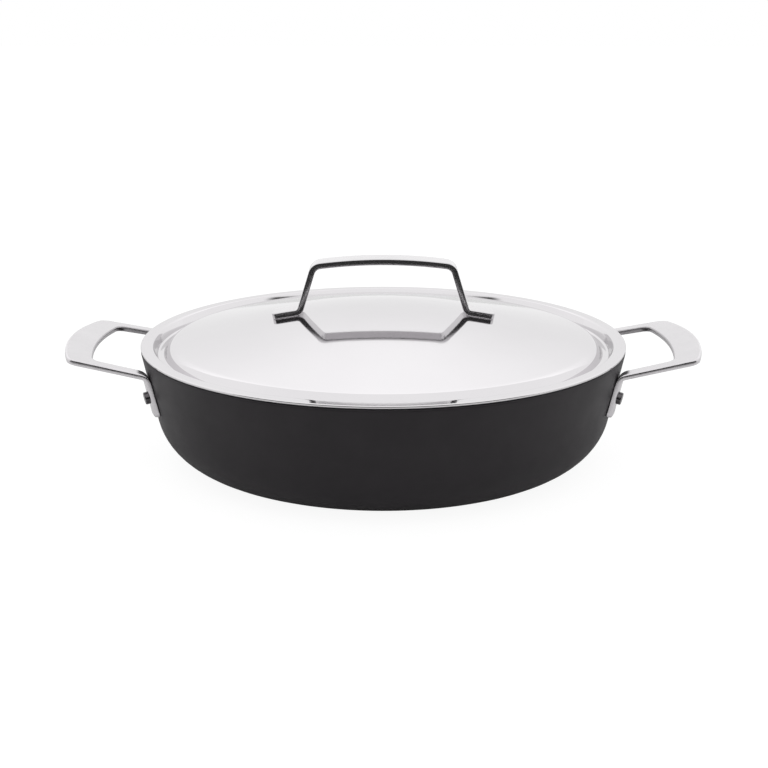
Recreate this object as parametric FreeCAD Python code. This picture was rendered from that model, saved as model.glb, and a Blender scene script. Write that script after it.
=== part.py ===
import FreeCAD, Part
import math
import os
from FreeCAD import Vector

# A shallow two-handled braising pan with a lid. Sizes are millimetres and angles are degrees.
# The pan stands on the plane z = 0, its axis is Z, and the two side handles lie along X.

# Pan body
cooking_diameter = 280.0  # inside the rim
body_height = 68.0  # from the table to the rim
wall_thickness = 4.0  # square to the wall
wall_taper = 11.6  # lean of the wall from upright
base_corner_radius = 33.5  # outside, where the wall turns into the underside
floor_thickness = 5.0
rim_edge_radius = 1.2

# Induction disc, let into the underside
disc_margin = 5.0  # flat ring left between the disc and the rounded corner
disc_thickness = 1.6
disc_stand = 0.4  # how far the disc stands below the body
disc_edge_clearance = 0.05
disc_edge_radius = 0.3

# Side handles
handle_reach = 44.3  # from the outer edge of the rim to the outer edge of the grip
arm_gap_at_pan = 88.5
arm_gap_at_grip = 82.3
arm_width = 8.4
arm_thickness = 3.2
arm_drop = 8.0  # from the rim down to where the top of an arm would meet the wall
handle_tilt = 11.1  # rise of the arms towards the grip
grip_width = 17.2  # at the middle of the grip
grip_outer_bow = 8.9  # the middle of the outer edge past its corners
grip_inner_bow = 4.6  # the same on the inner edge
grip_outer_corner_radius = 7.5
grip_inner_corner_radius = 6.4
tab_thickness = 3.2
tab_drop = 24.2  # from the top of the arm's root down to the end of its tab
tab_corner_radius = 1.5
bend_outer_radius = 6.5  # where an arm turns down into its tab, on the wall side
bend_inner_radius = 3.0
handle_edge_radius = 0.5

# Handle rivets
rivet_drop = 13.0  # from the top of the arm's root down to the rivet
rivet_shank_diameter = 5.0
rivet_head_diameter = 7.2
rivet_head_height = 2.6
rivet_head_edge_radius = 0.6
rivet_inner_head_diameter = 11.0
rivet_inner_head_height = 2.0
rivet_hole_clearance = 0.05

# Lid
lid_inset = 0.1  # how far the lid's edge stays inside the outer edge of the rim
sheet_thickness = 0.8
hem_gap = 0.4  # left inside the folded edge
flange_width = 7.1
groove_depth = 6.4  # from the flange down to the floor of the drip groove
groove_wall_run = 2.7  # how far the groove's outer wall leans in
groove_floor_width = 4.1
groove_corner_radius = 1.6
shoulder_run = 3.1  # from the groove's floor in to where the dome would end in a corner
shoulder_drop = 0.2  # that corner below the flange
shoulder_radius = 7.5  # round the same corner
dome_height = 18.0  # above the flange
crown_radius = 352.0  # the even curve of the middle of the dome
crown_diameter = 132.0  # out to here; the rest of the dome is flatter

# Lid handle
strap_width = 15.0
strap_thickness = 3.7
bar_rise = 30.5  # from the top of the dome to the top of the bar
bar_arch = 3.1  # fall of the bar from its middle to its corners
bar_span = 85.2  # outside, from corner to corner
leg_splay = 8.5  # how far a leg leans out between the bar and its foot
foot_length = 15.4
bar_inner_bend_radius = 4.5  # where the bar turns into a leg
foot_bend_radius = 2.0  # where a leg turns into its foot
strap_edge_radius = 0.8
foot_end_radius = 3.6
foot_bed = 0.1  # how deep a foot is ground to the curve of the dome

# Every cut runs this far past what it trims
overrun = 5.0

# Faces that meet at less than this angle count as one smooth face, whose seam is not rounded
seam_angle = 10.0

# Worked out from the sizes above
taper_slope = math.tan(math.radians(wall_taper))
tilt = math.radians(handle_tilt)
rim_inner_radius = cooking_diameter / 2
rim_outer_radius = rim_inner_radius + wall_thickness / math.cos(math.radians(wall_taper))
floor_height = disc_stand + floor_thickness
underside_radius = rim_outer_radius - (body_height - disc_stand) * taper_slope
corner_run = base_corner_radius * math.tan(math.radians(90 - wall_taper) / 2)
disc_radius = underside_radius - corner_run - disc_margin
flange_thickness = 2 * sheet_thickness + hem_gap
flange_top = body_height + flange_thickness
arm_root_height = body_height - arm_drop
tab_bottom_height = arm_root_height - tab_drop
rivet_height = arm_root_height - rivet_drop
lid_radius = rim_outer_radius - lid_inset
groove_outer_radius = lid_radius - flange_width
groove_floor_radius = groove_outer_radius - groove_wall_run  # at the outside of the groove's floor
dome_edge_radius = groove_floor_radius - groove_floor_width - shoulder_run
dome_top = flange_top + dome_height
crown_centre_height = dome_top - crown_radius
bar_top = dome_top + bar_rise


def on_side(u, v):
    """A point of an outline drawn in the upright plane through X."""
    return Vector(u, 0, v)


def on_plan(u, v):
    """A point of an outline drawn from above."""
    return Vector(u, v, 0)


def stretch_between(start, via, end):
    """A straight edge, or an arc where a point on the way is given."""
    if via is None:
        return Part.LineSegment(start, end).toShape()
    return Part.Arc(start, via, end).toShape()


def along(edge, distance):
    """The curve parameter of an edge at a distance from its start."""
    return edge.getParameterByLength(distance)


def corner_arc(before, after, radius):
    """The arc that rounds the corner of two edges, and how far it reaches along each of them."""
    corner = before.valueAt(before.LastParameter)
    coming = before.tangentAt(before.LastParameter)
    going = after.tangentAt(after.FirstParameter)
    half_turn = coming.getAngle(going) / 2
    run = radius * math.tan(half_turn)
    inward = (going - coming).normalize()
    middle = corner + inward * (radius / math.cos(half_turn) - radius)
    start = before.valueAt(along(before, before.Length - run))
    end = after.valueAt(along(after, run))
    return Part.Arc(start, middle, end).toShape(), run


def outline(points, place, closed=True):
    """A wire through corners (u, v, radius), each rounded; a pair (u, v) is a point on an arc."""
    spots = []
    radii = []
    vias = {}
    for point in points:
        if len(point) == 2:
            vias[len(spots) - 1] = place(*point)
        else:
            spots.append(place(*point[:2]))
            radii.append(point[2])
    count = len(spots)
    stretches = []
    for index in range(count if closed else count - 1):
        stretches.append(stretch_between(spots[index], vias.get(index), spots[(index + 1) % count]))
    runs = [0] * count
    rounds = {}
    for index, radius in enumerate(radii):
        if radius:
            rounds[index], runs[index] = corner_arc(stretches[index - 1], stretches[index], radius)
    edges = []
    for index, stretch in enumerate(stretches):
        following = (index + 1) % count
        left = stretch.Length - runs[index] - runs[following]
        if left > Part.Precision.confusion():
            first = along(stretch, runs[index])
            last = along(stretch, stretch.Length - runs[following])
            edges.append(stretch.Curve.toShape(first, last))
        if following in rounds:
            edges.append(rounds[following])
    return Part.Wire(edges)


def turned(points):
    """A solid of revolution about Z from an outline of (radius, height) corners."""
    face = Part.Face(outline(points, on_side))
    return face.revolve(Vector(0, 0, 0), Vector(0, 0, 1), 360)


def wall_radius(height):
    """The outside radius of the pan's straight wall at a height."""
    return rim_outer_radius - (body_height - height) * taper_slope


def crown_height_at(radius, above):
    """The height of a curve that lies a distance above the crown, at a radius from the axis."""
    return crown_centre_height + math.sqrt((crown_radius + above) ** 2 - radius ** 2)


def flank_middle(start, end):
    """A point on the flatter part of the dome, which leaves the crown smoothly at its start."""
    outward = (start - on_side(0, crown_centre_height)).normalize()
    chord = end - start
    flank_radius = -chord.dot(chord) / (2 * chord.dot(outward))
    centre = start - outward * flank_radius
    return centre + (start + chord / 2 - centre).normalize() * flank_radius


def pan_blank():
    """The pan body before its rivet holes are drilled."""
    inner_corner_radius = base_corner_radius - wall_thickness
    inner_foot_radius = rim_inner_radius - (body_height - floor_height) * taper_slope
    recess_radius = disc_radius + disc_edge_clearance
    return turned([
        (0, disc_thickness, 0),
        (recess_radius, disc_thickness, 0),
        (recess_radius, disc_stand, 0),
        (underside_radius, disc_stand, base_corner_radius),
        (rim_outer_radius, body_height, rim_edge_radius),
        (rim_inner_radius, body_height, rim_edge_radius),
        (inner_foot_radius, floor_height, inner_corner_radius),
        (0, floor_height, 0),
    ])


def base_disc():
    """The flat steel disc that the pan stands on."""
    return turned([
        (0, 0, 0),
        (disc_radius, 0, disc_edge_radius),
        (disc_radius, disc_thickness, disc_edge_radius),
        (0, disc_thickness, 0),
    ])


def middle_of(edge):
    """The point half way along an edge."""
    return edge.valueAt((edge.FirstParameter + edge.LastParameter) / 2)


def normal_at(face, point):
    """The outward direction of a face at a point on it."""
    return face.normalAt(*face.Surface.parameter(point))


def faces_beside(solid, edge):
    """The faces that meet at an edge."""
    return solid.ancestorsOfType(edge, Part.Face)


def sharp_edges(solid):
    """The edges of a solid that are not seams of one smooth face."""
    sharp = []
    for edge in solid.Edges:
        normals = [normal_at(face, middle_of(edge)) for face in faces_beside(solid, edge)]
        if len(normals) == 2 and normals[0].getAngle(normals[1]) > math.radians(seam_angle):
            sharp.append(edge)
    return sharp


def arm_root():
    """Where the top of an arm would meet the wall, half way across the arm."""
    middle_y = (arm_gap_at_pan + arm_width) / 2
    return on_side(math.sqrt(wall_radius(arm_root_height) ** 2 - middle_y ** 2), arm_root_height)


def arm_inside(distance, grip_distance):
    """How far the inner edge of an arm is from the middle plane, at a distance from its root."""
    return (arm_gap_at_pan + (arm_gap_at_grip - arm_gap_at_pan) * distance / grip_distance) / 2


def handle_plate(depth):
    """The right-hand handle's flat outline, as a sloping plate that goes a depth below its top."""
    root = arm_root()
    tip_x = rim_outer_radius + handle_reach
    reach = (tip_x - root.x - arm_thickness * math.sin(tilt)) / math.cos(tilt)
    inner_end = reach - grip_width - grip_inner_bow
    outer_end = reach - grip_outer_bow
    inner_y = arm_inside(inner_end, inner_end)
    outer_y = arm_inside(outer_end, inner_end) + arm_width
    start_y = arm_inside(-root.x, inner_end)
    face = Part.Face(outline([
        (-root.x, start_y + arm_width, 0),
        (outer_end, outer_y, grip_outer_corner_radius),
        (reach, 0),
        (outer_end, -outer_y, grip_outer_corner_radius),
        (-root.x, -start_y - arm_width, 0),
        (-root.x, -start_y, 0),
        (inner_end, -inner_y, grip_inner_corner_radius),
        (reach - grip_width, 0),
        (inner_end, inner_y, grip_inner_corner_radius),
        (-root.x, start_y, 0),
    ], on_plan))
    plate = face.extrude(Vector(0, 0, -depth))
    plate.rotate(Vector(0, 0, 0), Vector(0, 1, 0), -handle_tilt)
    plate.translate(root)
    return plate


def tab_ring():
    """A ring of the tabs' thickness round the wall, from the ends of the tabs up to the rim."""
    lean = math.radians(wall_taper)
    off_wall = Vector(math.cos(lean), 0, -math.sin(lean)) * tab_thickness
    low = on_side(wall_radius(tab_bottom_height), tab_bottom_height)
    high = on_side(rim_outer_radius, body_height)
    face = Part.Face(Part.makePolygon([low, high, high + off_wall, low + off_wall, low]))
    return face.revolve(Vector(0, 0, 0), Vector(0, 0, 1), 360)


def bend_edges(solid, upward):
    """The edges where flat arms meet round tabs, on top of the arms (1) or under them (-1)."""
    bends = []
    for edge in solid.Edges:
        beside = faces_beside(solid, edge)
        cones = [face for face in beside if isinstance(face.Surface, Part.Cone)]
        for face in beside:
            flat = isinstance(face.Surface, Part.Plane)
            if cones and flat and normal_at(face, middle_of(edge)).z * upward > math.cos(tilt) / 2:
                bends.append(edge)
    return bends


def handle_blank():
    """The right-hand handle before its rivet holes are drilled."""
    wall = Part.makeCone(wall_radius(0), rim_outer_radius, body_height)
    arms = handle_plate(arm_thickness).cut(wall)
    tabs = handle_plate(body_height).common(tab_ring())
    bent = arms.fuse(tabs).removeSplitter().Solids[0]
    for upward, radius in ((1, bend_outer_radius), (-1, bend_inner_radius)):
        bent = bent.makeFillet(radius, bend_edges(bent, upward))
    tab_ends = []
    for edge in bent.Edges:
        if edge.CenterOfMass.z < tab_bottom_height and edge.Length < 2 * tab_thickness:
            tab_ends.append(edge)
    rounded = bent.makeFillet(tab_corner_radius, tab_ends)
    return rounded.makeFillet(handle_edge_radius, sharp_edges(rounded)).Solids[0]


def rivet_axis(side):
    """A point on the wall and the outward direction of a right-hand rivet; side is 1 or -1 in Y."""
    azimuth = math.asin((arm_gap_at_pan + arm_width) / 2 / wall_radius(rivet_height))
    lean = math.radians(wall_taper)
    across = Vector(math.cos(azimuth), side * math.sin(azimuth), 0)
    point = across * wall_radius(rivet_height) + Vector(0, 0, rivet_height)
    return point, across * math.cos(lean) - Vector(0, 0, math.sin(lean))


def rivet_hole(side):
    """The drill that makes one rivet hole through tab and wall."""
    point, outward = rivet_axis(side)
    radius = rivet_shank_diameter / 2 + rivet_hole_clearance
    depth = wall_thickness + tab_thickness + 2 * overrun
    return Part.makeCylinder(radius, depth, point - outward * (wall_thickness + overrun), outward)


def rivet(side, pan, handle):
    """One rivet: a flat head on the tab, a shank, and a low round head inside the pan."""
    point, outward = rivet_axis(side)
    seat = point + outward * (tab_thickness / 2)
    head_length = tab_thickness / 2 + rivet_head_height
    head = Part.makeCylinder(rivet_head_diameter / 2, head_length, seat, outward)
    top_rim = [edge for edge in head.Edges if edge.CenterOfMass.isEqual(
        seat + outward * head_length, Part.Precision.confusion())]
    head = head.makeFillet(rivet_head_edge_radius, top_rim).cut(handle)
    inner_radius = rivet_inner_head_diameter / 2
    cap_radius = (inner_radius ** 2 + rivet_inner_head_height ** 2) / (2 * rivet_inner_head_height)
    inside = point - outward * (wall_thickness + rivet_inner_head_height - cap_radius)
    cap = Part.makeSphere(cap_radius, inside)
    trim = Part.makeCylinder(inner_radius, 2 * rivet_inner_head_height + wall_thickness / 2,
                             point - outward * (wall_thickness + 2 * rivet_inner_head_height), outward)
    inner_head = cap.common(trim).cut(pan)
    shank_start = point - outward * (wall_thickness + rivet_inner_head_height / 2)
    shank_length = wall_thickness + rivet_inner_head_height / 2 + tab_thickness + rivet_head_height / 2
    shank = Part.makeCylinder(rivet_shank_diameter / 2, shank_length, shank_start, outward)
    return shank.multiFuse([head, inner_head]).removeSplitter()


def other_side(shape):
    """The same piece on the other side of the pan."""
    copy = shape.copy()
    copy.rotate(Vector(0, 0, 0), Vector(0, 0, 1), 180)
    return copy


def lid_shell():
    """The pressed lid: dome, drip groove, flange and a folded hem that rests on the rim."""
    groove_floor = flange_top - groove_depth
    nose_radius = flange_thickness / 2
    crown_edge = on_side(crown_diameter / 2, crown_height_at(crown_diameter / 2, 0))
    dome_edge = on_side(dome_edge_radius, flange_top - shoulder_drop)
    flank = flank_middle(crown_edge, dome_edge)
    half_way = crown_diameter / 4
    path = outline([
        (0, dome_top, 0),
        (half_way, crown_height_at(half_way, 0)),
        (crown_edge.x, crown_edge.z, 0),
        (flank.x, flank.z),
        (dome_edge.x, dome_edge.z, shoulder_radius),
        (dome_edge_radius + shoulder_run, groove_floor, groove_corner_radius),
        (groove_floor_radius, groove_floor, groove_corner_radius),
        (groove_outer_radius, flange_top, groove_corner_radius),
        (lid_radius, flange_top, nose_radius),
        (lid_radius, body_height, nose_radius),
        (lid_radius - flange_width / 2, body_height, 0),
    ], on_side, closed=False)
    sheet = path.makeOffset2D(-sheet_thickness, 0, True, True)
    return sheet.revolve(Vector(0, 0, 0), Vector(0, 0, 1), 360)


def lid_handle():
    """The strap bridge on the lid: an arched bar, two splayed legs and two feet on the dome."""
    above = strap_thickness - foot_bed
    corner_x = bar_span / 2
    bend_x = corner_x + leg_splay
    foot_x = bend_x + foot_length
    sole_x = (foot_x + bend_x) / 2
    half = [
        (foot_x, crown_height_at(foot_x, above), 0),
        (sole_x, crown_height_at(sole_x, above)),
        (bend_x, crown_height_at(bend_x, above), foot_bend_radius),
        (corner_x, bar_top - bar_arch, bar_inner_bend_radius + strap_thickness),
    ]
    other_half = [(-point[0],) + point[1:] for point in reversed(half)]
    path = outline(half + [(0, bar_top)] + other_half, on_side, closed=False)
    strap = path.makeOffset2D(strap_thickness, 0, True, True)
    strap.translate(Vector(0, -strap_width / 2, 0))
    solid = strap.extrude(Vector(0, strap_width, 0))
    foot_ends = []
    for edge in solid.Edges:
        if abs(edge.CenterOfMass.x) > foot_x - strap_thickness and edge.Length < 2 * strap_thickness:
            foot_ends.append(edge)
    solid = solid.makeFillet(foot_end_radius, foot_ends).Solids[0]
    solid = solid.makeFillet(strap_edge_radius, sharp_edges(solid))
    crown = Part.makeSphere(crown_radius, Vector(0, 0, crown_centre_height))
    return solid.cut(crown).Solids[0]


def build():
    """All the pieces of the braiser by name."""
    body = pan_blank()
    handle = handle_blank()
    pieces = {"base_disc": base_disc(), "lid_shell": lid_shell(), "lid_handle": lid_handle()}
    drills = []
    for name, side in (("front", -1), ("rear", 1)):
        drills.append(rivet_hole(side))
        right = rivet(side, body, handle)
        pieces["right_" + name + "_rivet"] = right
        left_name = {"front": "rear", "rear": "front"}[name]
        pieces["left_" + left_name + "_rivet"] = other_side(right)
    pieces["right_handle"] = handle.cut(drills)
    pieces["left_handle"] = other_side(pieces["right_handle"])
    pieces["pan_body"] = body.cut(drills + [other_side(drill) for drill in drills])
    return pieces


os.makedirs("parts", exist_ok=True)
for node, shape in build().items():
    solids = shape.Solids
    print(node, "solids", len(solids), "valid", shape.isValid(), "volume", round(shape.Volume, 1))
    solids[0].exportStep("parts/" + node + ".step")
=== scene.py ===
import math
import bmesh
import bpy
import numpy as np
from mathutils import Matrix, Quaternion, Vector


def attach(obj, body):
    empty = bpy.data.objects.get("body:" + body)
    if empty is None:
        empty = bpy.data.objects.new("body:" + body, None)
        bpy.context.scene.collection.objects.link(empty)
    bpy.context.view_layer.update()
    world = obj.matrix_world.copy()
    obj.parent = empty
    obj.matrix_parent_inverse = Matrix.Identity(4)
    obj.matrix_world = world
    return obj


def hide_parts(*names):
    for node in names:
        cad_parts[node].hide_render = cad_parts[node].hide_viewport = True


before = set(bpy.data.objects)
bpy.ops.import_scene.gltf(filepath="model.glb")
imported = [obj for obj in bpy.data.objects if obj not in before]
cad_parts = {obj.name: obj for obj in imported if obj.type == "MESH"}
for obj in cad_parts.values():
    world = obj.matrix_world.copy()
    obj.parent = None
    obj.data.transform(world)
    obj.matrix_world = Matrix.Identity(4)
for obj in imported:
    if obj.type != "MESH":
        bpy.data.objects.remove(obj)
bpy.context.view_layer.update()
scene = bpy.context.scene
mm = 0.001
weldGap = 0.002  # mm; points closer than this become one
sharpAngle = 38.0  # degrees; flatter edges than this are shaded smooth
print("frame loaded:", len(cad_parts), "nodes")


def unit(v):
    return v / np.linalg.norm(v, axis=-1, keepdims=True)


# even points from a to b; a rise bows them into the arc that stands off the chord's left side by that much
def stretch(a, b, rise=0.0, count=80):
    a, b = np.array(a, float), np.array(b, float)
    t = np.linspace(0.0, 1.0, count)[:, None]
    line = a + (b - a) * t
    if rise:
        chord = np.linalg.norm(b - a)
        radius = (chord ** 2 / 4 + rise ** 2) / (2 * abs(rise))
        off = np.sqrt(radius ** 2 - ((t - 0.5) * chord) ** 2) - (radius - abs(rise))
        left = np.array([-(b - a)[1], (b - a)[0]]) / chord
        line = line + left * off * np.sign(rise)
    return line


# how far along a line each of its points lies
def runAlong(line):
    return np.concatenate([[0.0], np.cumsum(np.linalg.norm(np.diff(line, axis=0), axis=1))])


# a line of points read off at other distances along it
def readAt(line, run, at):
    return np.stack([np.interp(at, run, line[:, 0]), np.interp(at, run, line[:, 1])], axis=1)


# the same line with a length left off at each end, resampled evenly
def trimmed(line, head, tail, count):
    run = runAlong(line)
    return readAt(line, run, np.linspace(head, run[-1] - tail, count))


# the angle by which one direction turns into another
def turnBetween(first, second):
    return math.acos(max(-1.0, min(1.0, float(np.dot(first, second)))))


# stretches joined by round corners: each loses radius * tan(half the turn), and a cubic in the
# form of a circular arc, tangent to both, bridges the corner
def roundedPath(stretches, radii, counts, cornerRows):
    ends = [unit(s[-1] - s[-2]) for s in stretches]
    starts = [unit(s[1] - s[0]) for s in stretches]
    cuts = [r * math.tan(turnBetween(e, s) / 2) for r, e, s in zip(radii, ends[:-1], starts[1:])]
    parts = [trimmed(s, h, e, c) for s, h, e, c in zip(stretches, [0.0] + cuts, cuts + [0.0], counts)]
    path = [parts[0]]
    t = np.linspace(0.0, 1.0, cornerRows + 2)[1:-1, None]
    for before, after, radius in zip(parts[:-1], parts[1:], radii):
        if radius:
            d0, d1 = unit(before[-1] - before[-2]), unit(after[1] - after[0])
            reach = 4 / 3 * math.tan(turnBetween(d0, d1) / 4) * radius
            p0, p3 = before[-1], after[0]
            p1, p2 = p0 + d0 * reach, p3 - d1 * reach
            arc = (1 - t) ** 3 * p0 + 3 * (1 - t) ** 2 * t * p1 + 3 * (1 - t) * t ** 2 * p2 + t ** 3 * p3
            path += [arc, after]
        else:
            path.append(after[1:])
    return np.concatenate(path)


# a rounded path through corner points (a, b, radius), points about a spacing apart
def roundedCorners(corners, spacing, cornerRows, fewest=3):
    points = [np.array(c[:2], float) for c in corners]
    lines = [stretch(a, b, count=2) for a, b in zip(points[:-1], points[1:])]
    lengths = [np.linalg.norm(b - a) for a, b in zip(points[:-1], points[1:])]
    counts = [max(fewest, int(length / spacing) + 1) for length in lengths]
    return roundedPath(lines, [c[2] for c in corners[1:-1]], counts, cornerRows)


# quads between neighbours of a (rows, columns, 3) grid in mm, columns closed on themselves;
# rows that fall on one point or fold onto themselves are welded, and the faces turned outwards
def gridObject(name, grid, materials, rowMaterial=None, columnMaterial=None):
    rows, columns = grid.shape[:2]
    index = np.arange(rows * columns).reshape(rows, columns)
    index = np.hstack([index, index[:, :1]])
    quads = np.stack([index[:-1, :-1], index[:-1, 1:], index[1:, 1:], index[1:, :-1]], axis=-1).reshape(-1, 4)
    mesh = bpy.data.meshes.new(name)
    mesh.vertices.add(rows * columns)
    mesh.vertices.foreach_set("co", (grid * mm).astype(np.float32).ravel())
    mesh.loops.add(quads.size)
    mesh.loops.foreach_set("vertex_index", quads.astype(np.int32).ravel())
    mesh.polygons.add(len(quads))
    mesh.polygons.foreach_set("loop_start", np.arange(0, quads.size, 4, dtype=np.int32))
    for material in materials:
        mesh.materials.append(material)
    if rowMaterial is not None:
        mesh.polygons.foreach_set("material_index", np.repeat(rowMaterial, columns).astype(np.int32))
    if columnMaterial is not None:
        mesh.polygons.foreach_set("material_index", np.tile(columnMaterial, rows - 1).astype(np.int32))
    mesh.update(calc_edges=True)
    work = bmesh.new()
    work.from_mesh(mesh)
    bmesh.ops.remove_doubles(work, verts=work.verts, dist=weldGap * mm)
    bmesh.ops.recalc_face_normals(work, faces=work.faces)
    work.to_mesh(mesh)
    work.free()
    mesh.shade_smooth()
    mesh.set_sharp_from_angle(angle=math.radians(sharpAngle))
    piece = bpy.data.objects.new(name, mesh)
    scene.collection.objects.link(piece)
    return piece


# a profile of (radius, height) turned once about the Z axis
def turnedGrid(profile, columns):
    angle = np.linspace(0.0, 2 * math.pi, columns, endpoint=False)
    r, z = profile[:, :1], profile[:, 1:2]
    return np.stack([r * np.cos(angle), r * np.sin(angle), z + 0 * angle], axis=-1)


# the closed section of a strap with rounded edges, as coefficients for any width w and depth d:
# across = a + b / w runs from one side edge (0) to the other (1),
# through = c + e / d from front (0) to back (1)
def strapSection(edge, faceColumns, edgeColumns):
    q = np.linspace(0.0, math.pi / 2, edgeColumns)
    away, deep = edge * (1 - np.cos(q)), edge * (1 - np.sin(q))
    f = np.linspace(0.0, 1.0, faceColumns + 2)[1:-1]
    zero, one = np.zeros(edgeColumns), np.ones(edgeColumns)
    a = np.concatenate([zero, f, one, one, f[::-1], zero])
    b = np.concatenate([away, edge * (1 - 2 * f), -away[::-1], -away, edge * (1 - 2 * f[::-1]), away[::-1]])
    c = np.concatenate([zero, 0 * f, zero, one, 0 * f + 1, one])
    e = np.concatenate([deep, 0 * f, deep[::-1], -deep, 0 * f, -deep[::-1]])
    return a, b, c, e


# for each column of that section: 2 on the first side edge, 1 on the other one, 0 on the two faces
def sideColumns(faceColumns, edgeColumns):
    face, side = np.zeros(faceColumns + 1, int), np.ones(2 * edgeColumns - 1, int)
    return np.roll(np.concatenate([2 * side, face, side, face]), -edgeColumns)


# how far a corner of that radius takes the side in, at a distance before the end
def cornerInset(distance, radius):
    short = np.clip(radius - distance, 0.0, radius)
    return radius - np.sqrt(radius ** 2 - short ** 2)


# the nodes of one material, or of the surroundings, and the links between them
class Wiring:
    def __init__(self, owner):
        owner.use_nodes = True
        self.nodes, self.links = owner.node_tree.nodes, owner.node_tree.links
        self.nodes.clear()

    def add(self, kind, **values):
        node = self.nodes.new(kind)
        for key, value in values.items():
            if key in node.inputs:
                node.inputs[key].default_value = value
            else:
                setattr(node, key, value)
        return node

    # a value from low to high as the pattern goes from one level to another
    def ranged(self, pattern, low, high, fromLow=0.3, fromHigh=0.7, course="LINEAR"):
        node = self.add("ShaderNodeMapRange", interpolation_type=course)
        limits = ("From Min", "From Max", "To Min", "To Max")
        for socket, value in zip(limits, (fromLow, fromHigh, low, high)):
            node.inputs[socket].default_value = value
        self.links.new(pattern, node.inputs["Value"])
        return node.outputs["Result"]

    # the same with a soft start and end
    def stepped(self, pattern, fromLow, fromHigh, low, high):
        return self.ranged(pattern, low, high, fromLow, fromHigh, "SMOOTHSTEP")

    # two values, sockets or plain numbers, put together
    def combined(self, operation, first, second):
        node = self.add("ShaderNodeMath", operation=operation)
        for socket, value in zip(node.inputs, (first, second)):
            if isinstance(value, float):
                socket.default_value = value
            else:
                self.links.new(value, socket)
        return node.outputs["Value"]

    def mixed(self, share, first, second):
        node = self.add("ShaderNodeMixShader")
        for socket, source in zip(node.inputs, (share, first, second)):
            self.links.new(source, socket)
        return node.outputs["Shader"]

    # the X, Y and Z of a place or direction
    def split(self, kind):
        node = self.add("ShaderNodeSeparateXYZ")
        self.links.new(self.add("ShaderNodeTexCoord").outputs[kind], node.inputs["Vector"])
        return node.outputs

    def output(self, kind, source):
        self.links.new(source, self.add(kind).inputs["Surface"])


# a material in the making: a Principled shader, and the patterns that feed it from Object coordinates
class Finish(Wiring):
    def __init__(self, name, **settings):
        self.material = bpy.data.materials.new(name)
        super().__init__(self.material)
        self.shader = self.add("ShaderNodeBsdfPrincipled")
        self.output("ShaderNodeOutputMaterial", self.shader.outputs["BSDF"])
        for socket, value in settings.items():
            self.shader.inputs[socket.replace("_", " ")].default_value = value
        self.coordinates = self.add("ShaderNodeTexCoord").outputs["Object"]

    # cloudy noise, blotches of about the given size in mm
    def noise(self, size, detail=3.0, roughness=0.55):
        node = self.add("ShaderNodeTexNoise", Scale=1 / (size * mm), Detail=detail, Roughness=roughness)
        self.links.new(self.coordinates, node.inputs["Vector"])
        return node.outputs["Fac"]

    # noise that depends on the distance from the Z axis alone: turned rings of about the given pitch in mm
    def rings(self, pitch, detail=2.0):
        flat = self.add("ShaderNodeVectorMath", operation="MULTIPLY")
        flat.inputs[1].default_value = (1.0, 1.0, 0.0)
        length = self.add("ShaderNodeVectorMath", operation="LENGTH")
        node = self.add("ShaderNodeTexNoise", noise_dimensions="1D", Scale=1 / (pitch * mm), Detail=detail)
        self.links.new(self.coordinates, flat.inputs[0])
        self.links.new(flat.outputs["Vector"], length.inputs[0])
        self.links.new(length.outputs["Value"], node.inputs["W"])
        return node.outputs["Fac"]

    # noise drawn out along one axis: brushed or polished streaks, pitch in mm across them
    def streaks(self, pitch, squeeze, detail=2.0):
        mapping = self.add("ShaderNodeMapping", Scale=squeeze)
        node = self.add("ShaderNodeTexNoise", Scale=1 / (pitch * mm), Detail=detail)
        self.links.new(self.coordinates, mapping.inputs["Vector"])
        self.links.new(mapping.outputs["Vector"], node.inputs["Vector"])
        return node.outputs["Fac"]

    # one colour that turns into another with the pattern; a colour mix has its colours in sockets 6 and 7
    def colour(self, pattern, first, second, fromLow=0.3, fromHigh=0.7):
        mix = self.add("ShaderNodeMix", data_type="RGBA")
        mix.inputs[6].default_value = (*first, 1.0)
        mix.inputs[7].default_value = (*second, 1.0)
        self.links.new(self.ranged(pattern, 0.0, 1.0, fromLow, fromHigh), mix.inputs["Factor"])
        self.links.new(mix.outputs[2], self.shader.inputs["Base Color"])

    def gloss(self, pattern, low, high):
        self.links.new(self.ranged(pattern, low, high), self.shader.inputs["Roughness"])

    # relief of the given height in mm, added onto what is there already
    def relief(self, pattern, height):
        bump = self.add("ShaderNodeBump", Strength=1.0, Distance=height * mm)
        self.links.new(pattern, bump.inputs["Height"])
        normal = self.shader.inputs["Normal"]
        if normal.is_linked:
            self.links.new(normal.links[0].from_socket, bump.inputs["Normal"])
        self.links.new(bump.outputs["Normal"], normal)


anodised = Finish("anodised black", Specular_IOR_Level=0.36)
anodised.colour(anodised.noise(size=14.0), first=(0.0122, 0.0096, 0.0122), second=(0.0152, 0.0122, 0.0152))
anodised.gloss(anodised.noise(size=30.0), low=0.46, high=0.54)
anodised.relief(anodised.noise(size=0.55, detail=2.0), height=0.010)

nonStick = Finish("non-stick coating", Specular_IOR_Level=0.4)
nonStick.colour(nonStick.noise(size=0.9, detail=1.0), first=(0.012, 0.0115, 0.012),
                second=(0.060, 0.058, 0.060), fromLow=0.62, fromHigh=0.78)  # a few pale specks
nonStick.gloss(nonStick.noise(size=25.0), low=0.36, high=0.46)
nonStick.relief(nonStick.noise(size=0.8, detail=2.0), height=0.012)

mirrorSteel = Finish("mirror-polished steel", Metallic=1.0, Specular_Tint=(0.86, 0.86, 0.86, 1.0))
mirrorSteel.colour(mirrorSteel.noise(size=60.0), first=(0.700, 0.685, 0.700), second=(0.722, 0.707, 0.722))
mirrorSteel.gloss(mirrorSteel.rings(pitch=0.7), low=0.045, high=0.085)
mirrorSteel.relief(mirrorSteel.rings(pitch=1.6), height=0.00025)
mirrorSteel.relief(mirrorSteel.noise(size=45.0, detail=1.0), height=0.010)

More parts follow.
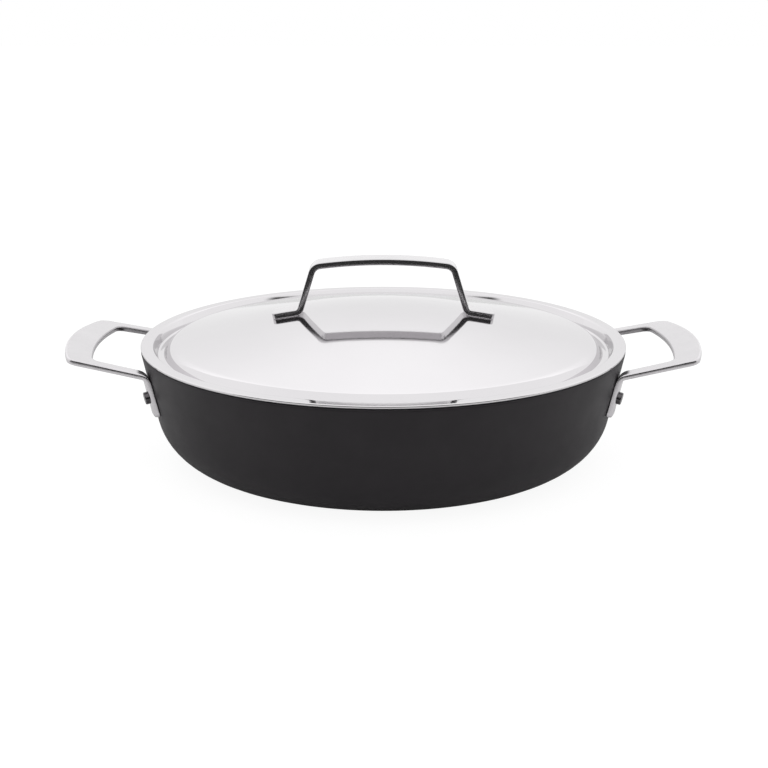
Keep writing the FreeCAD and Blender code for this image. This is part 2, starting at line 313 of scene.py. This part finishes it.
satinSteel = Finish("satin steel inside", Metallic=1.0)
satinSteel.colour(satinSteel.rings(pitch=3.0), first=(0.62, 0.61, 0.62), second=(0.70, 0.69, 0.70))
satinSteel.gloss(satinSteel.rings(pitch=0.5), low=0.26, high=0.36)
satinSteel.relief(satinSteel.rings(pitch=0.35), height=0.0015)

polishedSteel = Finish("polished handle steel", Metallic=1.0)
polishedSteel.colour(polishedSteel.noise(size=18.0), first=(0.58, 0.566, 0.58), second=(0.61, 0.596, 0.61))
polishedSteel.gloss(polishedSteel.streaks(pitch=0.5, squeeze=(1.0, 0.06, 1.0)), low=0.13, high=0.22)
polishedSteel.relief(polishedSteel.streaks(pitch=0.35, squeeze=(1.0, 0.05, 1.0)), height=0.0006)

# the side handles' outer side edges: satin steel whose colour is set lighter than the faces' steel, painted
# light standing in for bright reflections on them
litEdgeSteel = Finish("satin edge steel with painted light", Metallic=1.0)
litEdgeSteel.colour(litEdgeSteel.noise(size=6.0), first=(0.65, 0.63, 0.65), second=(0.71, 0.69, 0.71))
litEdgeSteel.gloss(litEdgeSteel.noise(size=3.0), low=0.18, high=0.26)
litEdgeSteel.relief(litEdgeSteel.noise(size=0.4), height=0.0012)

strapSteel = Finish("polished strap steel", Metallic=1.0)
strapSteel.colour(strapSteel.noise(size=18.0), first=(0.605, 0.592, 0.605), second=(0.640, 0.627, 0.640))
strapSteel.gloss(strapSteel.streaks(pitch=0.6, squeeze=(0.04, 1.0, 1.0)), low=0.12, high=0.18)
strapSteel.relief(strapSteel.streaks(pitch=0.6, squeeze=(0.03, 1.0, 1.0)), height=0.00015)

# the side handles' inner side edges, which face the pan: steel coloured far darker than the faces' steel,
# painted shade where they face the black pan
shadedInnerEdgeSteel = Finish("inner edge steel with painted shade", Metallic=1.0)
shadedInnerEdgeSteel.colour(shadedInnerEdgeSteel.noise(size=6.0), first=(0.38, 0.368, 0.38), second=(0.44, 0.426, 0.44))
shadedInnerEdgeSteel.gloss(shadedInnerEdgeSteel.noise(size=3.0), low=0.30, high=0.38)
shadedInnerEdgeSteel.relief(shadedInnerEdgeSteel.noise(size=0.4), height=0.0012)

# the rivets: satin steel coloured nearly black, painted shade for the dark rivet heads
shadedRivetSteel = Finish("satin rivet steel with painted shade", Metallic=1.0)
shadedRivetSteel.colour(shadedRivetSteel.noise(size=2.0), first=(0.105, 0.100, 0.105), second=(0.135, 0.129, 0.135))
shadedRivetSteel.gloss(shadedRivetSteel.noise(size=1.2), low=0.20, high=0.28)
shadedRivetSteel.relief(shadedRivetSteel.noise(size=0.5), height=0.0006)

turnedSteel = Finish("turned base steel", Metallic=1.0)
turnedSteel.colour(turnedSteel.rings(pitch=2.5), first=(0.55, 0.545, 0.55), second=(0.65, 0.645, 0.65))
turnedSteel.gloss(turnedSteel.rings(pitch=0.6), low=0.24, high=0.36)
turnedSteel.relief(turnedSteel.rings(pitch=0.5), height=0.006)
print("finishes made")


panSize = {"rimRadius": 144.083, "innerRimRadius": 140.0, "height": 68.0, "baseRadius": 130.207,
           "baseHeight": 0.4, "baseCorner": 33.5, "floorRadius": 127.150, "floorHeight": 5.4,
           "floorCorner": 29.5, "rimEdge": 1.2, "recessRadius": 97.935, "recessHeight": 1.6,
           "columns": 360, "spacing": 3.0, "cornerRows": 14, "coatingFrom": 8}


# the pan's section turned about Z: under the base, round its corner, up the leaning wall, over the
# rounded rim, down the inside and back to the middle of the floor
def makePan(size):
    corners = [(0.0, size["recessHeight"], 0.0), (size["recessRadius"], size["recessHeight"], 0.0),
               (size["recessRadius"], size["baseHeight"], 0.0),
               (size["baseRadius"], size["baseHeight"], size["baseCorner"]),
               (size["rimRadius"], size["height"], size["rimEdge"]),
               (size["innerRimRadius"], size["height"], size["rimEdge"]),
               (size["floorRadius"], size["floorHeight"], size["floorCorner"]),
               (0.0, size["floorHeight"], 0.0)]
    profile = roundedCorners(corners, size["spacing"], size["cornerRows"])
    top = np.argmax(profile @ np.array([mm, 1.0]))  # the highest point, and the outermost of equals
    inside = (np.arange(len(profile) - 1) >= top + size["coatingFrom"]).astype(int)
    return gridObject("panBody", turnedGrid(profile, size["columns"]),
                      [anodised.material, nonStick.material], inside)


discSize = {"radius": 97.885, "thickness": 1.6, "edge": 0.3, "columns": 240, "spacing": 1.5, "cornerRows": 5}


# a flat steel disc with softened rims, turned about Z
def makeDisc(size):
    corners = [(0.0, 0.0, 0.0), (size["radius"], 0.0, size["edge"]),
               (size["radius"], size["thickness"], size["edge"]), (0.0, size["thickness"], 0.0)]
    profile = roundedCorners(corners, size["spacing"], size["cornerRows"])
    return gridObject("baseDisc", turnedGrid(profile, size["columns"]), [turnedSteel.material])


panBody = makePan(panSize)
baseDisc = makeDisc(discSize)
print("pan made")


handleSize = {"reach": 44.3, "gapAtPan": 88.5, "gapAtGrip": 82.3, "armWidth": 8.4, "armThickness": 3.2,
              "armDrop": 8.0, "tilt": 11.1, "gripWidth": 17.2, "outerBow": 8.9, "innerBow": 4.6,
              "outerCorner": 7.5, "innerCorner": 6.4, "tabThickness": 3.2, "tabDrop": 24.2, "tabCorner": 1.5,
              "bendOuter": 6.5, "bendInner": 3.0, "edge": 0.9, "wallSlope": 0.20528, "tabLength": 20.0,
              "tipShare": 0.08, "finestShare": 0.0004, "tipRows": 10, "tabRows": 16, "bendRows": 14,
              "armRows": 22, "gripRows": 70, "cornerRows": 18, "faceColumns": 7, "edgeColumns": 5}


# how far out the cone of the pan's wall is, at a height
def wallRadius(z):
    return panSize["rimRadius"] - (panSize["height"] - z) * handleSize["wallSlope"]


# The right-hand loop: a strap section carried from one tab end up the wall, round the bend, along the
# arm, round the grip and back. Across the strap it runs from the loop's inner outline to its outer one;
# through it, from the top plane to the underside. On the tabs the top plane becomes the cone of the wall.
def handleGrid(size):
    tilt = math.radians(size["tilt"])
    along, up = np.array([math.cos(tilt), math.sin(tilt)]), np.array([-math.sin(tilt), math.cos(tilt)])
    rootHeight = panSize["height"] - size["armDrop"]

    def wallX(y, z):
        return np.sqrt(wallRadius(z) ** 2 - y ** 2)

    width, thick = size["armWidth"], size["armThickness"]
    root = np.array([wallX((size["gapAtPan"] + width) / 2, rootHeight), rootHeight])
    reach = (panSize["rimRadius"] + size["reach"] - root[0] - thick * along[1]) / along[0]
    gripInside = reach - size["gripWidth"]
    innerEnd, outerEnd = gripInside - size["innerBow"], reach - size["outerBow"]
    lean = (size["gapAtGrip"] - size["gapAtPan"]) / 2 / gripInside

    def innerY(u):
        return size["gapAtPan"] / 2 + lean * u

    def outerY(u):
        return innerY(u) + width

    a, b, c, e = strapSection(size["edge"], size["faceColumns"], size["edgeColumns"])

    # bend and tab: in the upright plane at each y, two lines (arm, wall) joined by an arc, on the top side
    # and on the underside; the rows of the tab crowd towards its rounded end
    bendRows = size["bendRows"]
    tabEnd = rootHeight - size["tabDrop"]
    tabRun = np.concatenate([np.linspace(0.0, 1 - size["tipShare"], size["tabRows"])[1:],
                             1 - np.geomspace(size["tipShare"], size["finestShare"], size["tipRows"]), [1.0]])
    toEnd = (1 - tabRun) * size["tabLength"]
    inset = np.concatenate([np.zeros(bendRows), cornerInset(toEnd, size["tabCorner"])])[:, None]
    thin = np.concatenate([np.zeros(bendRows), cornerInset(toEnd, size["edge"])])[:, None]
    narrow = width - 2 * inset
    y0 = innerY(0.0) + inset + (a + b / narrow) * narrow
    high = np.stack([wallX(y0, rootHeight), rootHeight + 0 * y0], axis=-1)
    low = np.stack([wallX(y0, tabEnd), tabEnd + 0 * y0], axis=-1)
    wallDown = unit(low - high)
    wallOut = np.stack([-wallDown[..., 1], wallDown[..., 0]], axis=-1)

    # one side of bend and tab: a plane of the arm and a line at a shift off the wall meet in a corner, an
    # arc about a centre on the corner's bisector rounds it (its two ends weighed by sines), and the tab
    # runs on down
    def side(plane, wallShift, radius):
        start = high + wallOut * wallShift
        cross = along[0] * wallDown[..., 1] - along[1] * wallDown[..., 0]
        gap = start - plane
        reachOut = (gap[..., 0] * wallDown[..., 1] - gap[..., 1] * wallDown[..., 0]) / cross
        corner = plane + reachOut[..., None] * along
        turn = np.pi - np.arccos(np.clip((wallDown * along).sum(-1), -1, 1))
        cut = (radius * np.tan(turn / 2))[..., None]
        centre = corner + unit(wallDown + along) * (radius / np.cos(turn / 2))[..., None]
        onArm, onWall = corner + along * cut, corner + wallDown * cut
        s, angle, hub = np.linspace(0.0, 1.0, bendRows)[:, None], turn[:bendRows], centre[:bendRows]
        fromArm = (np.sin((1 - s) * angle) / np.sin(angle))[..., None] * (onArm[:bendRows] - hub)
        fromWall = (np.sin(s * angle) / np.sin(angle))[..., None] * (onWall[:bendRows] - hub)
        foot = low + wallOut * wallShift
        run = tabRun[:, None, None]
        tab = onWall[bendRows:] * (1 - run) + foot[bendRows:] * run
        return np.concatenate([hub + fromArm + fromWall, tab])

    radial = wallX(y0, rootHeight) / wallRadius(rootHeight)
    topSide = side(root, np.zeros(y0.shape + (1,)), size["bendOuter"])
    backSide = side(root - up * thick, (size["tabThickness"] / radial)[..., None], size["bendInner"])
    deep = np.linalg.norm(backSide - topSide, axis=-1)
    thinner = deep - 2 * thin
    through = (thin + (c + e / thinner) * thinner) / deep
    xz = topSide + (backSide - topSide) * through[..., None]
    y = y0 + lean * ((xz - root) @ along)
    # the tab's sides follow the arm's lean, so x is corrected for the small shift in y
    x = xz[..., 0] + wallX(y, xz[..., 1]) - wallX(y0, xz[..., 1])
    bendAndTab = np.stack([x, y, xz[..., 1]], axis=-1)
    flat = (topSide[-1] + backSide[-1]) / 2
    cap = np.stack([flat[:, 0] + x[-1] - xz[-1, :, 0], y[-1], flat[:, 1]], axis=-1)
    tabPart = np.concatenate([bendAndTab, cap[None]])[::-1]

    # arms and grip, in the tilted plane: the inner and the outer outline, paired point by point
    begin = (np.stack([x[0], xz[0, :, 1]], axis=-1) - root) @ along
    counts = [size["armRows"], size["gripRows"], size["armRows"]]
    mirror = np.array([1.0, -1.0])

    def outline(first, firstY, end, endY, bow, corner):
        arm = stretch((first, firstY), (end, endY), count=2)
        grip = stretch((end, endY), (end, -endY), bow)
        return roundedPath([arm, grip, arm[::-1] * mirror], [corner] * 2, counts, size["cornerRows"])

    innerFrom, outerFrom = begin[0], begin[len(a) // 2]
    inner = outline(innerFrom, innerY(innerFrom), innerEnd, innerY(gripInside),
                    size["innerBow"], size["innerCorner"])
    outer = outline(outerFrom, outerY(outerFrom), outerEnd, outerY(outerEnd),
                    size["outerBow"], size["outerCorner"])
    span = np.linalg.norm(outer - inner, axis=1)[:, None]
    plan = inner[:, None] + (outer - inner)[:, None] * (a + b / span)[..., None]
    depth = (c + e / thick) * thick
    flatXZ = root + plan[..., :1] * along - depth[None, :, None] * up
    loop = np.stack([flatXZ[..., 0], plan[..., 1], flatXZ[..., 1]], axis=-1)
    otherTab = tabPart[::-1] * np.array([1.0, -1.0, 1.0])
    return np.concatenate([tabPart[:-1], loop, otherTab[1:]])


halfTurn = np.array([-1.0, -1.0, 1.0])
rightGrid = handleGrid(handleSize)
# faces, then outer side edges with painted light, then inner side edges with painted shade
handleFinishes = [polishedSteel.material, litEdgeSteel.material, shadedInnerEdgeSteel.material]
handleSides = sideColumns(handleSize["faceColumns"], handleSize["edgeColumns"])
rightHandle = gridObject("rightHandle", rightGrid, handleFinishes, columnMaterial=handleSides)
leftHandle = gridObject("leftHandle", rightGrid * halfTurn, handleFinishes, columnMaterial=handleSides)
print("side handles made")


rivetSize = {"height": 47.0, "azimuth": 20.282, "wallThickness": 4.0, "taper": 11.6, "tabThickness": 3.2,
             "headRadius": 3.6, "headHeight": 2.6, "headEdge": 0.6, "headRise": 0.12, "shankRadius": 2.5,
             "capRadius": 5.5, "capHeight": 2.0, "capBow": 1.0, "sunk": 0.2, "columns": 64, "capRows": 40,
             "spacing": 0.4, "cornerRows": 6}


# a rivet's section turned about its own axis, square to the wall: a low domed cap inside the pan, the
# shank through wall and tab, and a flat round head outside; ySide is -1 at the front and 1 at the rear
def rivetGrid(size, ySide, turned):
    capFoot = -size["wallThickness"] + size["sunk"]
    capTop = -size["wallThickness"] - size["capHeight"]
    head = size["tabThickness"] - size["sunk"]
    top = size["tabThickness"] + size["headHeight"]
    cap = stretch((0.0, capTop), (size["capRadius"], capFoot), size["capBow"], size["capRows"])
    rest = roundedCorners([(size["capRadius"], capFoot, 0.0), (size["shankRadius"], capFoot, 0.0),
                           (size["shankRadius"], head, 0.0), (size["headRadius"], head, 0.0),
                           (size["headRadius"], top - size["headRise"], size["headEdge"]), (0.0, top, 0.0)],
                          size["spacing"], size["cornerRows"])
    local = turnedGrid(np.concatenate([cap[cap[:, 0] >= 0], rest[1:]]), size["columns"])
    turn, taper = math.radians(size["azimuth"]), math.radians(size["taper"])
    out = np.array([math.cos(turn) * math.cos(taper), ySide * math.sin(turn) * math.cos(taper),
                    -math.sin(taper)])
    beside = unit(np.cross(out, np.array([0.0, 0.0, 1.0])))
    over = np.cross(beside, out)
    wall = wallRadius(size["height"])
    at = np.array([wall * math.cos(turn), ySide * wall * math.sin(turn), size["height"]])
    grid = at + local[..., :1] * beside + local[..., 1:2] * over + local[..., 2:] * out
    return grid * halfTurn if turned else grid


# the left-hand ones are the right-hand ones after half a turn about Z
rivets = {"rightFrontRivet": ("right_front_rivet", -1, False),
          "rightRearRivet": ("right_rear_rivet", 1, False),
          "leftFrontRivet": ("left_front_rivet", 1, True),
          "leftRearRivet": ("left_rear_rivet", -1, True)}
rivetPieces = [(gridObject(name, rivetGrid(rivetSize, ySide, turned), [shadedRivetSteel.material]), node)
               for name, (node, ySide, turned) in rivets.items()]
print("rivets made")


lidSize = {"radius": 143.983, "flangeTop": 70.0, "seat": 68.0, "sheet": 0.8, "hemEnd": 140.433,
           "grooveOuter": 136.883, "grooveFloorOuter": 134.183, "grooveFloorInner": 130.083,
           "grooveDepth": 6.4, "grooveCorner": 1.6, "domeEdge": 126.983, "shoulderDrop": 0.2,
           "shoulderRadius": 7.5, "domeRise": 18.0, "crownRadius": 352.0, "crownEdge": 66.0, "hemCorner": 0.6,
           "hemUnder": 1.35, "columns": 288, "domePoints": 60, "lineRows": [64, 3, 8, 6, 10, 2, 6],
           "cornerRows": 12}


# the height of a curve that lies above the crown by a distance, square to it
def crownAt(x, above=0.0):
    centre = lidSize["flangeTop"] + lidSize["domeRise"] - lidSize["crownRadius"]
    return centre + np.sqrt((lidSize["crownRadius"] + above) ** 2 - np.asarray(x, float) ** 2)


# the dome's section: the arc of the crown, then the arc that leaves it smoothly and ends at the shoulder
def domeProfile(size):
    r = np.linspace(0.0, size["crownEdge"], size["domePoints"])
    crown = np.stack([r, crownAt(r)], axis=1)
    lean = math.asin(size["crownEdge"] / size["crownRadius"])
    outward = np.array([math.sin(lean), math.cos(lean)])
    chord = np.array([size["domeEdge"], size["flangeTop"] - size["shoulderDrop"]]) - crown[-1]
    radius = -(chord @ chord) / (2 * (chord @ outward))
    centre = crown[-1] - outward * radius
    flank = np.linspace(size["crownEdge"], size["domeEdge"], size["domePoints"])[1:]
    height = centre[1] + np.sqrt(radius ** 2 - (flank - centre[0]) ** 2)
    return np.concatenate([crown, np.stack([flank, height], axis=1)])


# the pressed sheet's section turned about Z: dome, shoulder, drip groove, flat flange and hem on the top
# side, then the same line set in by the sheet's thickness, back to the middle
def makeLid(size):
    grooveFloor = size["flangeTop"] - size["grooveDepth"]
    points = [(size["domeEdge"], size["flangeTop"] - size["shoulderDrop"]),
              (size["grooveFloorInner"], grooveFloor), (size["grooveFloorOuter"], grooveFloor),
              (size["grooveOuter"], size["flangeTop"]), (size["radius"], size["flangeTop"]),
              (size["radius"], size["seat"]), (size["hemEnd"], size["seat"])]
    lines = [domeProfile(size)] + [stretch(p, q, count=2) for p, q in zip(points[:-1], points[1:])]
    radii = [size["shoulderRadius"]] + [size["grooveCorner"]] * 3 + [size["hemCorner"], size["hemUnder"]]
    top = roundedPath(lines, radii, size["lineRows"], size["cornerRows"])
    way = unit(np.gradient(top, axis=0))
    under = top + np.stack([way[:, 1], -way[:, 0]], axis=1) * size["sheet"]
    under[0, 0] = 0.0
    profile = np.concatenate([top, under[::-1]])
    lower = (np.arange(len(profile) - 1) >= len(top)).astype(int)
    return gridObject("lidShell", turnedGrid(profile, size["columns"]),
                      [mirrorSteel.material, satinSteel.material], lower)


strapSize = {"width": 15.0, "thickness": 3.7, "barTop": 118.5, "barArch": 3.1, "barSpan": 85.2,
             "legSplay": 8.5, "footLength": 15.4, "footBend": 2.0, "barBend": 4.5, "edge": 0.55,
             "footCorner": 3.6, "footBed": 0.1, "footPoints": 40, "barPoints": 200,
             "lineRows": [60, 30, 110, 30, 60], "cornerRows": 16, "finestRow": 0.002, "tipRows": 16,
             "faceColumns": 9, "edgeColumns": 6}


# the lid handle: a flat strap carried along foot, leg, arched bar, leg and foot; across it runs in Y,
# through it from the upper side to the lower one
def makeStrap(size):
    barX = size["barSpan"] / 2
    bendX = barX + size["legSplay"]
    x = np.linspace(-bendX - size["footLength"], -bendX, size["footPoints"])
    foot = np.stack([x, crownAt(x, size["thickness"] - size["footBed"])], axis=1)
    corner = size["barTop"] - size["barArch"]
    lines = [foot, stretch((-bendX, foot[-1, 1]), (-barX, corner), count=2),
             stretch((-barX, corner), (barX, corner), size["barArch"], size["barPoints"]),
             stretch((barX, corner), (bendX, foot[-1, 1]), count=2), foot[::-1] * np.array([-1.0, 1.0])]
    barBend = size["barBend"] + size["thickness"]
    path = roundedPath(lines, [size["footBend"], barBend, barBend, size["footBend"]],
                       size["lineRows"], size["cornerRows"])
    way = unit(np.gradient(path, axis=0))
    lower = np.stack([way[:, 1], -way[:, 0]], axis=1) * size["thickness"]
    run = runAlong(path)
    # extra stations close to both ends, for their rounded corners
    extra = np.geomspace(size["finestRow"], size["footCorner"], size["tipRows"])
    stations = np.unique(np.concatenate([run, extra, run[-1] - extra]))
    path, lower = readAt(path, run, stations), readAt(lower, run, stations)
    toEnd = np.minimum(stations, stations[-1] - stations)[:, None]
    a, b, c, e = strapSection(size["edge"], size["faceColumns"], size["edgeColumns"])
    inset, thin = cornerInset(toEnd, size["footCorner"]), cornerInset(toEnd, size["edge"])
    narrow, thinner = size["width"] - 2 * inset, size["thickness"] - 2 * thin
    y = inset + (a + b / narrow) * narrow - size["width"] / 2
    through = (thin + (c + e / thinner) * thinner) / size["thickness"]
    xz = path[:, None] + lower[:, None] * through[..., None]
    grid = np.stack([xz[..., 0], y, xz[..., 1]], axis=-1)
    middle = path[:, None] + lower[:, None] / 2 + 0 * xz  # where the two ends close
    caps = np.stack([middle[..., 0], y, middle[..., 1]], axis=-1)
    return gridObject("lidHandle", np.concatenate([caps[:1], grid, caps[-1:]]), [strapSteel.material])


lidShell = makeLid(lidSize)
lidHandle = makeStrap(strapSize)
print("lid made")

fittings = [(panBody, "pan", "pan_black", "pan_body"),
            (baseDisc, "pan", "disc_steel", "base_disc"),
            (rightHandle, "pan", "handle_steel", "right_handle"),
            (leftHandle, "pan", "handle_steel", "left_handle"),
            (lidShell, "lid", "lid_steel", "lid_shell"),
            (lidHandle, "lid", "handle_steel", "lid_handle")]
fittings += [(rivet, "pan", "rivet_steel", rivetNode) for rivet, rivetNode in rivetPieces]
for piece, body, slot, node in fittings:
    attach(piece, body)
    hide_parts(node)


# darkAhead and darkUpTo: the limits, in Y and Z of a direction, between which the dark front fades out
studio = {"floorSize": 12.0, "floorLevel": -0.0004, "floorWhite": 0.88, "floorGlow": 0.80,
          "glowStrength": 1.14, "flagFrom": -0.24, "flagTo": -0.38, "flagDark": 0.035,
          "diffuseWorld": 0.80, "reflectedWorld": 1.10, "darkAhead": (-0.40, -0.28),
          "darkUpTo": (0.472, 0.508), "overheadSize": (2.0, 2.0), "overheadPower": 2.0,
          "overheadPlace": (0.0, 0.1, 1.5), "overheadTarget": (0.0, 0.1, 0.0),
          "backdropWidth": 3.6, "backdropHeight": 2.05, "backdropPlace": 1.65,
          "backdropRiseShare": 0.15, "backdropLow": 1.12, "backdropHigh": 1.36}


# a flat sheet between four corners
def makeSheet(name, corners, material):
    mesh = bpy.data.meshes.new(name)
    mesh.from_pydata(corners, [], [(0, 1, 2, 3)])
    mesh.materials.append(material)
    sheet = bpy.data.objects.new(name, mesh)
    scene.collection.objects.link(sheet)
    return sheet


# the floor: pale and diffuse; the camera sees it mostly as plain white with a faint shadow, and polished
# metal sees it dark in front of the pan, where a black flag lies in a product studio
def makeFloor(size):
    material = bpy.data.materials.new("studio floor")
    wiring = Wiring(material)
    diffuse = wiring.add("ShaderNodeBsdfDiffuse", Color=(size["floorWhite"],) * 3 + (1.0,))
    glow = wiring.add("ShaderNodeEmission", Strength=size["glowStrength"])
    dark = wiring.add("ShaderNodeEmission", Strength=size["flagDark"])
    path = wiring.add("ShaderNodeLightPath").outputs
    flag = wiring.stepped(wiring.split("Object")["Y"], size["flagTo"], size["flagFrom"], 1.0, 0.0)
    seen = wiring.combined("MULTIPLY", path["Is Camera Ray"], size["floorGlow"])
    flagged = wiring.combined("MULTIPLY", path["Is Glossy Ray"], flag)
    plain = wiring.mixed(seen, diffuse.outputs["BSDF"], glow.outputs["Emission"])
    wiring.output("ShaderNodeOutputMaterial", wiring.mixed(flagged, plain, dark.outputs["Emission"]))
    edge, level = size["floorSize"] / 2, size["floorLevel"]
    corners = [(-edge, -edge, level), (edge, -edge, level), (edge, edge, level), (-edge, edge, level)]
    floor = makeSheet("floor", corners, material)


# the surroundings: white for the camera and for reflections, but dark low down in front of the pan;
# somewhat dimmer as diffuse light
def makeWorld(size):
    world = bpy.data.worlds.new("white studio")
    scene.world = world
    wiring = Wiring(world)
    background = wiring.add("ShaderNodeBackground", Color=(1.0, 1.0, 1.0, 1.0))
    path = wiring.add("ShaderNodeLightPath").outputs
    way = wiring.split("Generated")
    front = wiring.stepped(way["Y"], *size["darkAhead"], 1.0, 0.0)
    low = wiring.stepped(way["Z"], *size["darkUpTo"], 1.0, 0.0)
    darkness = wiring.combined("MULTIPLY", wiring.combined("MULTIPLY", front, low), 1.0 - size["flagDark"])
    lit = wiring.combined("MULTIPLY", wiring.combined("SUBTRACT", 1.0, darkness), size["reflectedWorld"])
    reflected = wiring.combined("MULTIPLY", lit, path["Is Glossy Ray"])
    camera = wiring.combined("MAXIMUM", path["Is Camera Ray"], path["Is Transmission Ray"])
    seen = wiring.combined("MAXIMUM", path["Is Glossy Ray"], camera)
    rest = wiring.combined("MULTIPLY", wiring.combined("SUBTRACT", 1.0, seen), size["diffuseWorld"])
    strength = wiring.combined("ADD", wiring.combined("ADD", reflected, camera), rest)
    wiring.links.new(strength, background.inputs["Strength"])
    wiring.output("ShaderNodeOutputWorld", background.outputs["Background"])


# the lit backdrop behind the pan: an upright white sheet that is a little brighter towards its top;
# the camera sees the plain white surroundings in its place
def makeBackdrop(size):
    half, place, height = size["backdropWidth"] / 2, size["backdropPlace"], size["backdropHeight"]
    material = bpy.data.materials.new("lit backdrop")
    wiring = Wiring(material)
    glow = wiring.add("ShaderNodeEmission")
    rise = wiring.stepped(wiring.split("Object")["Z"], size["backdropRiseShare"] * height, height,
                          size["backdropLow"], size["backdropHigh"])
    wiring.links.new(rise, glow.inputs["Strength"])
    wiring.output("ShaderNodeOutputMaterial", glow.outputs["Emission"])
    corners = [(-half, place, 0.0), (half, place, 0.0), (half, place, height), (-half, place, height)]
    backdrop = makeSheet("backdrop", corners, material)
    backdrop.visible_camera = False


# a soft square lamp overhead: it lights the surfaces, but neither the camera nor a reflection shows it
def makeLamp(size):
    light = bpy.data.lights.new("overheadSoftbox", "AREA")
    light.shape = "RECTANGLE"
    light.size, light.size_y = size["overheadSize"]
    light.energy = size["overheadPower"]
    lamp = bpy.data.objects.new("overheadSoftbox", light)
    lamp.location = size["overheadPlace"]
    aim = Vector(size["overheadTarget"]) - Vector(size["overheadPlace"])
    lamp.rotation_euler = aim.to_track_quat("-Z", "Y").to_euler()
    scene.collection.objects.link(lamp)
    lamp.visible_camera = False
    lamp.visible_glossy = False


makeFloor(studio)
makeWorld(studio)
makeBackdrop(studio)
makeLamp(studio)
print("studio made")


view = {"distance": 0.8347, "elevation": 16.06, "target": (0.00042, 0.0, 0.0402), "lens": 64.406,
        "roll": 0.04, "sensor": 36.0, "clip": (0.01, 50.0)}


# the camera looks at its target from the front, at an elevation, and is rolled about its own axis
def makeCamera(size):
    data = bpy.data.cameras.new("photoCamera")
    data.sensor_width = size["sensor"]
    data.lens = size["lens"]
    data.clip_start, data.clip_end = size["clip"]
    camera = bpy.data.objects.new("photoCamera", data)
    tilt = math.radians(size["elevation"])
    target = Vector(size["target"])
    camera.location = target + Vector((0.0, -math.cos(tilt), math.sin(tilt))) * size["distance"]
    turn = (target - camera.location).to_track_quat("-Z", "Y")
    camera.rotation_euler = (turn @ Quaternion((0.0, 0.0, 1.0), math.radians(size["roll"]))).to_euler()
    scene.collection.objects.link(camera)
    scene.camera = camera


makeCamera(view)
scene.view_settings.view_transform = "Standard"
print("camera set")
